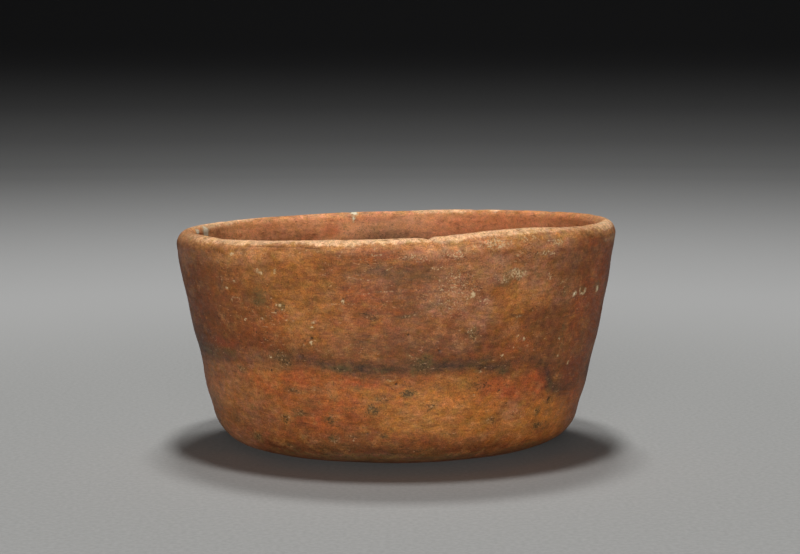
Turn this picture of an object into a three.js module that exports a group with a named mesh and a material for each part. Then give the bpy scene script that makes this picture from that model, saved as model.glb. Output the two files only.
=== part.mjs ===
// A hand-built cup of fired clay, in the pieces of clay that the potter joined.
// A base pad was pressed into a shallow dish, coils were added on it to make the wall, and a last
// thinner coil was rolled over for the rim. Each coil is luted to the one below along a slanting seam.
//
// Millimetres, +Z up. The cup stands on Z = 0 with its axis on Z, and its front faces -Y.
// Turns round the axis are counted in radians from the front, towards +X.

import * as THREE from "three";

// Driving dimensions of the body
const CUP_HEIGHT = 55.2; // to the crest of the rim, before the rim's unevenness
const RIM_RADIUS = 55; // outside of the rolled rim, the widest part of the cup
const FOOT_RADIUS = 19; // the flat patch that the cup stands on
const HEEL_RADIUS = 45.6; // outside, where the underside has turned up into the wall
const HEEL_HEIGHT = 7.8;
const UNDERSIDE_REACH = 14; // how far the underside runs on nearly level past the foot
const HEEL_FULLNESS = 7.4; // how far the wall's slope is carried down into the heel
const WALL_BELLY = 0.55; // how far the wall swells out from a straight line
const WALL_THICKNESS = 4.8; // just above the heel, measured level
const FLOOR_THICKNESS = 6.2; // in the middle of the base

// Driving dimensions of the inside
const HOLLOW_HEIGHT = 18; // where the rounded bottom of the hollow has turned up into the wall
const HOLLOW_FLOOR_REACH = 22; // how far the inside floor runs on nearly level
const HOLLOW_FULLNESS = 9; // how far the inside wall's slope is carried down

// Driving dimensions of the rim
const LIP_THICKNESS = 4.3; // just under the roll
const LIP_OUTER_ROUND = 2.7; // from the crest out to the widest point
const LIP_OUTER_DROP = 3.3; // from the crest down to the widest point
const LIP_INNER_DROP = 2.2; // from the crest down to the inside wall

// Driving dimensions of the coils
const BASE_PAD_HEIGHT = 10; // top edge of the base pad, on the outside
const RIM_COIL_HEIGHT = 8; // on the outside
const WALL_COILS = 3;
const SEAM_LAP = 3; // a seam climbs this much from the outside to the inside
const SEAM_WANDER = 0.5; // a seam rises and falls by this much on its way round
const COIL_SWELL = 0.25; // a coil stands proud between its seams by this much

// Driving dimensions of the hand-made unevenness
const BODY_SKEW = 0.008; // rise of the whole body towards +X, per millimetre
const BODY_SKEW_FROM = 2.5; // height by which the skew has come in, so that the foot stays level
const RIM_SLOPE = 0.0185; // more rise of the rim towards +X, per millimetre
const RIM_HUMP = 1.2; // the rim stands this much higher to the right of the front
const RIM_HUMP_TURN = THREE.MathUtils.degToRad(31);
const RIM_HUMP_SPREAD = THREE.MathUtils.degToRad(13);
const RIM_UNEVEN_BELOW = 22; // the rim's unevenness dies out this far below the crest
const OUT_OF_ROUND = 0.3; // the wall runs in and out of round by this much
const OUT_OF_ROUND_LOBES = 3;

// Fineness of the facets
const STEPS_ROUND = 80;
const FOOT_ROWS = 2;
const HEEL_ROWS = 10;
const HOLLOW_ROWS = 9;
const COIL_ROWS = 4;
const LIP_ROWS = 9;

const LIP_CREST_RADIUS = RIM_RADIUS - LIP_OUTER_ROUND;
const LIP_INNER_ROUND = LIP_THICKNESS - LIP_OUTER_ROUND;
const QUARTER = Math.PI / 2;

// Half of an upright section: x is the distance from the axis, y the height.

// A point beside the middle of the line from low to high, pushed out to give a curve that much belly.
function bellyPoint(low, high, belly) {
  const along = high.clone().sub(low);
  const outward = new THREE.Vector2(along.y, -along.x).normalize();
  return low.clone().lerp(high, 0.45).addScaledVector(outward, 2 * belly);
}

const heelTop = new THREE.Vector2(HEEL_RADIUS, HEEL_HEIGHT);
const lipSide = new THREE.Vector2(RIM_RADIUS, CUP_HEIGHT - LIP_OUTER_DROP);
const wallBelly = bellyPoint(heelTop, lipSide, WALL_BELLY);

function outsideSection() {
  const slope = wallBelly.clone().sub(heelTop).normalize();
  const intoHeel = heelTop.clone().addScaledVector(slope, -HEEL_FULLNESS);
  const section = new THREE.Path();
  section.moveTo(FOOT_RADIUS, 0);
  section.bezierCurveTo(
    FOOT_RADIUS + UNDERSIDE_REACH, 0, intoHeel.x, intoHeel.y, heelTop.x, heelTop.y,
  );
  section.quadraticCurveTo(wallBelly.x, wallBelly.y, lipSide.x, lipSide.y);
  section.absellipse(
    LIP_CREST_RADIUS, lipSide.y, LIP_OUTER_ROUND, LIP_OUTER_DROP, 0, QUARTER, false, 0,
  );
  return section;
}

function insideSection() {
  const lipInside = new THREE.Vector2(RIM_RADIUS - LIP_THICKNESS, CUP_HEIGHT - LIP_INNER_DROP);
  const wallInside = wallBelly.clone();
  wallInside.x -= (WALL_THICKNESS + LIP_THICKNESS) / 2;
  const share = (HOLLOW_HEIGHT - HEEL_HEIGHT) / (lipSide.y - HEEL_HEIGHT);
  const hollowSide = heelTop.clone().lerp(lipSide, share);
  hollowSide.x -= WALL_THICKNESS;
  hollowSide.y = HOLLOW_HEIGHT;
  const slope = wallInside.clone().sub(hollowSide).normalize();
  const intoHollow = hollowSide.clone().addScaledVector(slope, -HOLLOW_FULLNESS);
  const section = new THREE.Path();
  section.moveTo(0, FLOOR_THICKNESS);
  section.bezierCurveTo(
    HOLLOW_FLOOR_REACH, FLOOR_THICKNESS, intoHollow.x, intoHollow.y, hollowSide.x, hollowSide.y,
  );
  section.quadraticCurveTo(wallInside.x, wallInside.y, lipInside.x, lipInside.y);
  section.absellipse(
    LIP_CREST_RADIUS, lipInside.y, LIP_INNER_ROUND, LIP_INNER_DROP, Math.PI, QUARTER, true, 0,
  );
  return section;
}

const outside = outsideSection();
const inside = insideSection();

// Where along a section, from 0 to 1, the curve reaches a height. Sections climb all the way.
function placeAtHeight(section, height) {
  let low = 0;
  let high = 1;
  for (let halving = 0; halving < 40; halving++) {
    const middle = (low + high) / 2;
    if (section.getPoint(middle).y < height) low = middle;
    else high = middle;
  }
  return (low + high) / 2;
}

// Points along a section from one height to another, both ends included.
function stretch(section, fromHeight, toHeight, rows) {
  const from = placeAtHeight(section, fromHeight);
  const to = placeAtHeight(section, toHeight);
  const points = [];
  for (let row = 0; row <= rows; row++) {
    points.push(section.getPoint(THREE.MathUtils.lerp(from, to, row / rows)));
  }
  return points;
}

// The same, swollen outwards (or, with a negative swell, hollowed) between its two ends.
function swollenStretch(section, fromHeight, toHeight, rows, swell) {
  const points = stretch(section, fromHeight, toHeight, rows);
  points.forEach((point, row) => {
    point.x += swell * Math.sin((Math.PI * row) / rows);
  });
  return points;
}

// Heights of the seams on the outside, from the base pad's top edge to the rim coil's foot.
// Every seam wanders in its own way, which the turn round the axis decides.
function seamHeight(seam, turn) {
  const top = CUP_HEIGHT - RIM_COIL_HEIGHT;
  const level = THREE.MathUtils.lerp(BASE_PAD_HEIGHT, top, seam / WALL_COILS);
  return level + SEAM_WANDER * Math.sin(2 * turn + 1.9 * seam);
}

// The cup as it left the hand: skewed a little, its rim sloping and humped, its wall out of round.
function unevenPoint(point, turn) {
  const settled = THREE.MathUtils.smoothstep(point.y, 0, BODY_SKEW_FROM);
  const nearRim = THREE.MathUtils.smoothstep(point.y, CUP_HEIGHT - RIM_UNEVEN_BELOW, CUP_HEIGHT);
  const lobes = OUT_OF_ROUND * settled * Math.cos(OUT_OF_ROUND_LOBES * turn);
  const radius = point.x * (1 + lobes / RIM_RADIUS);
  const sideways = radius * Math.sin(turn);
  const fromHump = Math.atan2(Math.sin(turn - RIM_HUMP_TURN), Math.cos(turn - RIM_HUMP_TURN));
  const hump = RIM_HUMP * Math.exp(-((fromHump / RIM_HUMP_SPREAD) ** 2) / 2);
  return new THREE.Vector3(
    sideways,
    -radius * Math.cos(turn),
    point.y + settled * BODY_SKEW * sideways + nearRim * (RIM_SLOPE * sideways + hump),
  );
}

// A closed solid swept round the axis. loopAt gives, for a turn round the axis, the points of the
// closed outline there, anticlockwise as seen with the axis on the left. Points on the axis are
// shared by all turns. Each four-sided patch is split along its shorter diagonal, so two pieces
// that share a seam split it alike and meet face to face.
function sweptSolid(loopAt) {
  const corners = [];
  const numberOf = new Map();
  const indexOf = (corner) => {
    const key = corner.toArray().join();
    if (!numberOf.has(key)) numberOf.set(key, corners.push(corner) - 1);
    return numberOf.get(key);
  };
  const columns = [];
  for (let step = 0; step < STEPS_ROUND; step++) {
    const turn = (step / STEPS_ROUND) * 2 * Math.PI;
    columns.push(loopAt(turn).map((point) => indexOf(unevenPoint(point, turn))));
  }
  const faces = [];
  const addFace = (a, b, c) => {
    if (a !== b && b !== c && c !== a) faces.push(a, b, c);
  };
  const gap = (a, b) => corners[a].distanceToSquared(corners[b]);
  columns.forEach((column, step) => {
    const next = columns[(step + 1) % STEPS_ROUND];
    column.forEach((low, row) => {
      const up = (row + 1) % column.length;
      const [lowNext, highNext, high] = [next[row], next[up], column[up]];
      if (gap(low, highNext) <= gap(lowNext, high)) {
        addFace(low, lowNext, highNext);
        addFace(low, highNext, high);
      } else {
        addFace(low, lowNext, high);
        addFace(lowNext, highNext, high);
      }
    });
  });
  const geometry = new THREE.BufferGeometry();
  const positions = corners.flatMap((corner) => corner.toArray());
  geometry.setAttribute("position", new THREE.Float32BufferAttribute(positions, 3));
  geometry.setIndex(faces);
  geometry.computeVertexNormals();
  return geometry;
}

// The base pad: the flat foot, the underside and heel up to the first seam, and the inside floor.
function basePadLoop(turn) {
  const seam = seamHeight(0, turn);
  const foot = [];
  for (let row = 0; row < FOOT_ROWS; row++) {
    foot.push(new THREE.Vector2((FOOT_RADIUS * row) / FOOT_ROWS, 0));
  }
  return [
    ...foot,
    ...stretch(outside, 0, seam, HEEL_ROWS),
    ...stretch(inside, seam + SEAM_LAP, FLOOR_THICKNESS, HOLLOW_ROWS),
  ];
}

// A wall coil, counted from 1 at the bottom, between the seam below it and the seam above it.
function wallCoilLoop(coil, turn) {
  const below = seamHeight(coil - 1, turn);
  const above = seamHeight(coil, turn);
  return [
    ...swollenStretch(outside, below, above, COIL_ROWS, COIL_SWELL),
    ...swollenStretch(inside, above + SEAM_LAP, below + SEAM_LAP, COIL_ROWS, COIL_SWELL),
  ];
}

// The rim coil: up the outside from the last seam, over the rolled lip, and down the inside.
function rimCoilLoop(turn) {
  const seam = seamHeight(WALL_COILS, turn);
  const overLip = stretch(outside, seam, CUP_HEIGHT, LIP_ROWS);
  const downInside = stretch(inside, CUP_HEIGHT, seam + SEAM_LAP, LIP_ROWS);
  return [...overLip, ...downInside.slice(1)];
}

// Finishes, by how each zone was fired
function firedClay(colour, roughness) {
  return new THREE.MeshStandardMaterial({ color: colour, roughness, metalness: 0 });
}

const orangeClay = firedClay(0xa8683a, 0.6);
const redBrownClay = firedClay(0x96603c, 0.55);
const wornRimClay = firedClay(0xc08a60, 0.75);

function piece(name, loopAt, material) {
  const mesh = new THREE.Mesh(sweptSolid(loopAt), material);
  mesh.name = name;
  return mesh;
}

const cup = new THREE.Group();
cup.name = "cup";
cup.add(piece("base_pad", basePadLoop, orangeClay));
for (let coil = 1; coil <= WALL_COILS; coil++) {
  const material = coil === 1 ? orangeClay : redBrownClay;
  cup.add(piece(`wall_coil_${coil}`, (turn) => wallCoilLoop(coil, turn), material));
}
cup.add(piece("rim_coil", rimCoilLoop, wornRimClay));

export default cup;
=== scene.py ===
"""A hand-built, burnished cup of fired clay on a plain pale floor under soft studio light.

The cup is made of the pieces of clay that its potter joined: a base pad, three wall coils and a
rim coil. Each piece is a sheet of clay that is wrapped round the axis, given the cup's section,
and then roughened by hand and by wear. Firing, wear and deposits are painted on as masks, which
the materials read as attributes. Some of the masks also carry painted light and painted shade.

Lengths are in millimetres until a piece is made, and heights count up from the floor. Turns round
the axis are in degrees from the front of the cup, which faces -Y, towards +X.
"""

import itertools
import math

import bmesh
import bpy
import numpy as np
from mathutils import Euler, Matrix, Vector


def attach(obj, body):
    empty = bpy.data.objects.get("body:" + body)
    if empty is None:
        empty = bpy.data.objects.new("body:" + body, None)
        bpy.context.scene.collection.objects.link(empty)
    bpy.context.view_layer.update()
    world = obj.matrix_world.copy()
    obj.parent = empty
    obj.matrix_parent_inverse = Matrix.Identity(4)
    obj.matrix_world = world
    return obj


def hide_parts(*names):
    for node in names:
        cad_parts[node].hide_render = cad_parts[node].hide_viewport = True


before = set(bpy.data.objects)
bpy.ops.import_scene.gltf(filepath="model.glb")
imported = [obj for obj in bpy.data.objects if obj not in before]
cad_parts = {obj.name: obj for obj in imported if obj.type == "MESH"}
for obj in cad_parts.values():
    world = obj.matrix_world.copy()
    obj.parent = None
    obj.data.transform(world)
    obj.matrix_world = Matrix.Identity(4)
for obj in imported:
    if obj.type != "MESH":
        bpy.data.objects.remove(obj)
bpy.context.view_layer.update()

MM = 0.001
OUTSIDE = "outside"
INSIDE = "inside"

# The section of the cup, with the same sizes as the solids

CUP_HEIGHT = 55.2
RIM_RADIUS = 55
FOOT_RADIUS = 19
HEEL_RADIUS = 45.6
HEEL_HEIGHT = 7.8
UNDERSIDE_REACH = 14
HEEL_FULLNESS = 7.4
WALL_BELLY = 0.55
BELLY_UP_WALL = 0.45
WALL_THICKNESS = 4.8
FLOOR_THICKNESS = 6.2
HOLLOW_HEIGHT = 18
HOLLOW_FLOOR_REACH = 22
HOLLOW_FULLNESS = 9
LIP_THICKNESS = 4.3
LIP_OUTER_ROUND = 2.7
LIP_OUTER_DROP = 3.3
LIP_INNER_DROP = 2.2

BASE_PAD_HEIGHT = 10
RIM_COIL_HEIGHT = 8
WALL_COILS = 3
SEAM_LAP = 3
SEAM_WANDER = 0.5
SEAM_SHIFT = 1.9
COIL_SWELL = 0.25

BODY_SKEW = 0.008
BODY_SKEW_FROM = 2.5
RIM_SLOPE = 0.0185
RIM_HUMP = 1.2
RIM_HUMP_TURN = 31
RIM_HUMP_SPREAD = 13
RIM_UNEVEN_BELOW = 22
OUT_OF_ROUND = 0.3
OUT_OF_ROUND_LOBES = 3

# How finely the clay is modelled

STEPS_ROUND = 840
CAP_ROWS = 2
SHARP_ANGLE = math.radians(35)


def smoothstep(low, high, value):
    share = np.clip((value - low) / (high - low), 0, 1)
    return share * share * (3 - 2 * share)


def bezier(*controls, count=200):
    """Points along the curve of two to four control points."""
    share = np.linspace(0, 1, count)[:, None]
    points = [np.array(control, float) + 0 * share for control in controls]
    while len(points) > 1:
        points = [low + (high - low) * share for low, high in zip(points, points[1:])]
    return points[0]


def quarter_round(centre, across, up, count=60):
    """Points from beside an ellipse's centre to the point above it."""
    angle = np.linspace(0, math.pi / 2, count)
    return np.column_stack((centre[0] + across * np.cos(angle), centre[1] + up * np.sin(angle)))


class Section:
    """Half of the upright section, from the axis to the crest of the rim, on one side of the clay.

    Points are (distance from the axis, height), and places on it are measured along the curve.
    """

    def __init__(self, curves, side):
        self.points = np.vstack([curves[0]] + [curve[1:] for curve in curves[1:]])
        stretches = np.diff(self.points, axis=0)
        self.along = np.concatenate(([0], np.cumsum(np.hypot(*stretches.T))))
        slope = np.gradient(self.points, axis=0)
        slope /= np.hypot(*slope.T)[:, None]
        facing = 1 if side == OUTSIDE else -1
        self.normals = facing * np.column_stack((slope[:, 1], -slope[:, 0]))
        self.side = side

    def place_at_height(self, height):
        return np.interp(height, self.points[:, 1], self.along)

    def read(self, table, along):
        return [np.interp(along, self.along, column) for column in table.T]


def cup_sections():
    """The outside and the inside section."""
    heel_top = np.array((HEEL_RADIUS, HEEL_HEIGHT))
    lip_side = np.array((RIM_RADIUS, CUP_HEIGHT - LIP_OUTER_DROP))
    up_wall = lip_side - heel_top
    outward = np.array((up_wall[1], -up_wall[0])) / np.hypot(*up_wall)
    belly = heel_top + BELLY_UP_WALL * up_wall + 2 * WALL_BELLY * outward
    slope = (belly - heel_top) / np.hypot(*(belly - heel_top))
    crest_radius = RIM_RADIUS - LIP_OUTER_ROUND
    outside = Section([
        bezier((0, 0), (FOOT_RADIUS, 0)),
        bezier((FOOT_RADIUS, 0), (FOOT_RADIUS + UNDERSIDE_REACH, 0),
               heel_top - HEEL_FULLNESS * slope, heel_top),
        bezier(heel_top, belly, lip_side),
        quarter_round((crest_radius, lip_side[1]), LIP_OUTER_ROUND, LIP_OUTER_DROP),
    ], OUTSIDE)

    lip_inside = np.array((RIM_RADIUS - LIP_THICKNESS, CUP_HEIGHT - LIP_INNER_DROP))
    inner_belly = belly - ((WALL_THICKNESS + LIP_THICKNESS) / 2, 0)
    share = (HOLLOW_HEIGHT - HEEL_HEIGHT) / up_wall[1]
    hollow_side = heel_top + share * up_wall - (WALL_THICKNESS, 0)
    slope = (inner_belly - hollow_side) / np.hypot(*(inner_belly - hollow_side))
    inner_round = LIP_THICKNESS - LIP_OUTER_ROUND
    inside = Section([
        bezier((0, FLOOR_THICKNESS), (HOLLOW_FLOOR_REACH, FLOOR_THICKNESS),
               hollow_side - HOLLOW_FULLNESS * slope, hollow_side),
        bezier(hollow_side, inner_belly, lip_inside),
        quarter_round((crest_radius, lip_inside[1]), -inner_round, LIP_INNER_DROP),
    ], INSIDE)
    return outside, inside


outside_section, inside_section = cup_sections()


# Noise on a lattice, the same on every run

LATTICE_STRIDES = np.array((73856093, 19349663, 83492791), np.uint32)
LATTICE_SHIFT = 500
SEED_STRIDE = 7919
OCTAVE_STRIDE = 101
KEY_STIRS = ((15, 2246822519), (13, 3266489917))
LAST_STIR = 16
KEY_MIDDLE = 2147483647.5


def lattice_values(cells, seed):
    """A fixed value from -1 to 1 for each point of a whole-numbered lattice."""
    strides = cells.astype(np.uint32) * LATTICE_STRIDES
    key = strides[..., 0] ^ strides[..., 1] ^ strides[..., 2] ^ np.uint32(seed * SEED_STRIDE)
    for shift, factor in KEY_STIRS:
        key = (key ^ (key >> shift)) * np.uint32(factor)
    return (key ^ (key >> LAST_STIR)) / KEY_MIDDLE - 1


def noise(points, size, seed):
    """Smooth lumps from -1 to 1. size is a lump's length, or its lengths along X, Y and Z."""
    scaled = points / np.array(size, float) + LATTICE_SHIFT
    cell = np.floor(scaled)
    share = scaled - cell
    share = share * share * (3 - 2 * share)
    cell = cell.astype(np.int64)
    total = 0
    for corner in itertools.product((0, 1), repeat=3):
        weight = np.prod(np.where(corner, share, 1 - share), axis=-1)
        total = total + weight * lattice_values(cell + corner, seed)
    return total


def rough_noise(points, size, seed, octaves=3):
    """Lumps with smaller lumps on them."""
    total = 0
    for octave in range(octaves):
        finer = 0.5 ** octave
        octave_seed = seed + OCTAVE_STRIDE * octave
        total = total + finer * noise(points, np.array(size) * finer, octave_seed)
    return total / (2 - 0.5 ** (octaves - 1))


def turn_apart(turn, other):
    """How far round one turn is from another, from -180 to 180 degrees."""
    return (turn - other + 180) % 360 - 180


def read_round(table, turn, column=1):
    """A column of a table at each turn, where the table's first column holds its turns."""
    columns = np.transpose(table)
    return np.interp(turn, columns[0], columns[column], period=360)


# How much farther than a spot's edge its columns are looked at, in degrees, because the turns
# and heights that cover() is given wander with noise
SPOT_MARGIN = 4


def cover(turn, height, spots, soft):
    """How much of each point is covered by any of the spots, from 0 to 1.

    A spot is (turn, height, half its width in degrees, half its height in mm, strength).
    soft is how wide its edge is, as a share of its size.
    """
    covered = np.zeros(turn.shape)
    for spot_turn, spot_height, half_width, half_height, strength in spots:
        reach = half_width * (1 + soft) + SPOT_MARGIN
        near = np.abs(turn_apart(turn[:, 0], spot_turn)) < reach
        across = turn_apart(turn[near], spot_turn) / half_width
        up = (height[near] - spot_height) / half_height
        within = smoothstep(1 + soft, 1 - soft, np.hypot(across, up))
        covered[near] = np.maximum(covered[near], strength * within)
    return covered


# Where the fire and the years left their marks, and where light and shade are painted. Spots
# are as cover() takes them.

CLOUD_SOFTNESS = 0.6
STAIN_SOFTNESS = 0.8
SPECK_SOFTNESS = 0.9
FLECK_SOFTNESS = 0.7

# The wandering line between the orange lower clay and the smoked clay above: (turn, height)
FIRE_LINE = [
    (-180, 24), (-150, 28), (-120, 21), (-100, 23), (-80, 22.5), (-70, 22.5), (-62, 23.6),
    (-55, 24.6), (-45, 26), (-40, 25.8), (-30, 25), (-20, 24.2), (-10, 23), (-3, 22.8), (5, 23.6),
    (10, 24.8), (15, 25), (20, 24.2), (25, 23.2), (30, 22.6), (34, 23.6), (38, 24.8), (41, 23.6),
    (44, 22), (46, 20), (48, 17.4), (50, 15.8), (60, 15.2), (66, 16.4), (70, 14.5), (80, 12.5),
    (100, 14), (120, 18), (140, 26), (160, 25), (180, 24),
]

# The dark smoke band along it: (turn, height of its middle, half its height, strength)
SMOKE_BAND = [
    (-180, 27, 3, 0.6), (-150, 31, 2, 0.35), (-120, 25, 3, 0.7), (-95, 26, 3, 0.9),
    (-80, 26.6, 3, 0.9), (-66, 26, 2.5, 0.9), (-60, 25.8, 2, 0.6), (-52, 26.2, 1.8, 0.5),
    (-45, 26.8, 1.4, 0.25), (-36, 27, 1.4, 0.25), (-30, 27, 1.8, 0.45), (-24, 27, 1.6, 0.6),
    (-17, 26, 1.8, 0.95), (-10, 25.6, 1.9, 1), (-3, 25.3, 1.6, 0.9), (3, 25.8, 1.6, 0.8),
    (8, 26.2, 1.7, 0.85), (13, 26.4, 1.5, 1), (20, 26, 1.4, 1), (26, 25.2, 1.5, 0.9),
    (31, 24.6, 1.8, 0.8), (36, 26, 1.5, 0.35), (41, 25, 2.2, 0.5), (45, 23, 2.2, 0.75),
    (48, 20, 2, 0.8), (51, 17.8, 1.6, 0.8), (56, 17, 1.4, 0.7), (63, 17, 1.4, 0.35),
    (72, 18, 2, 0.35), (85, 20, 4, 0.5), (110, 24, 4, 0.7), (140, 30, 4, 0.5), (160, 29, 3.5, 0.7),
    (180, 27, 3, 0.6),
]

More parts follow.
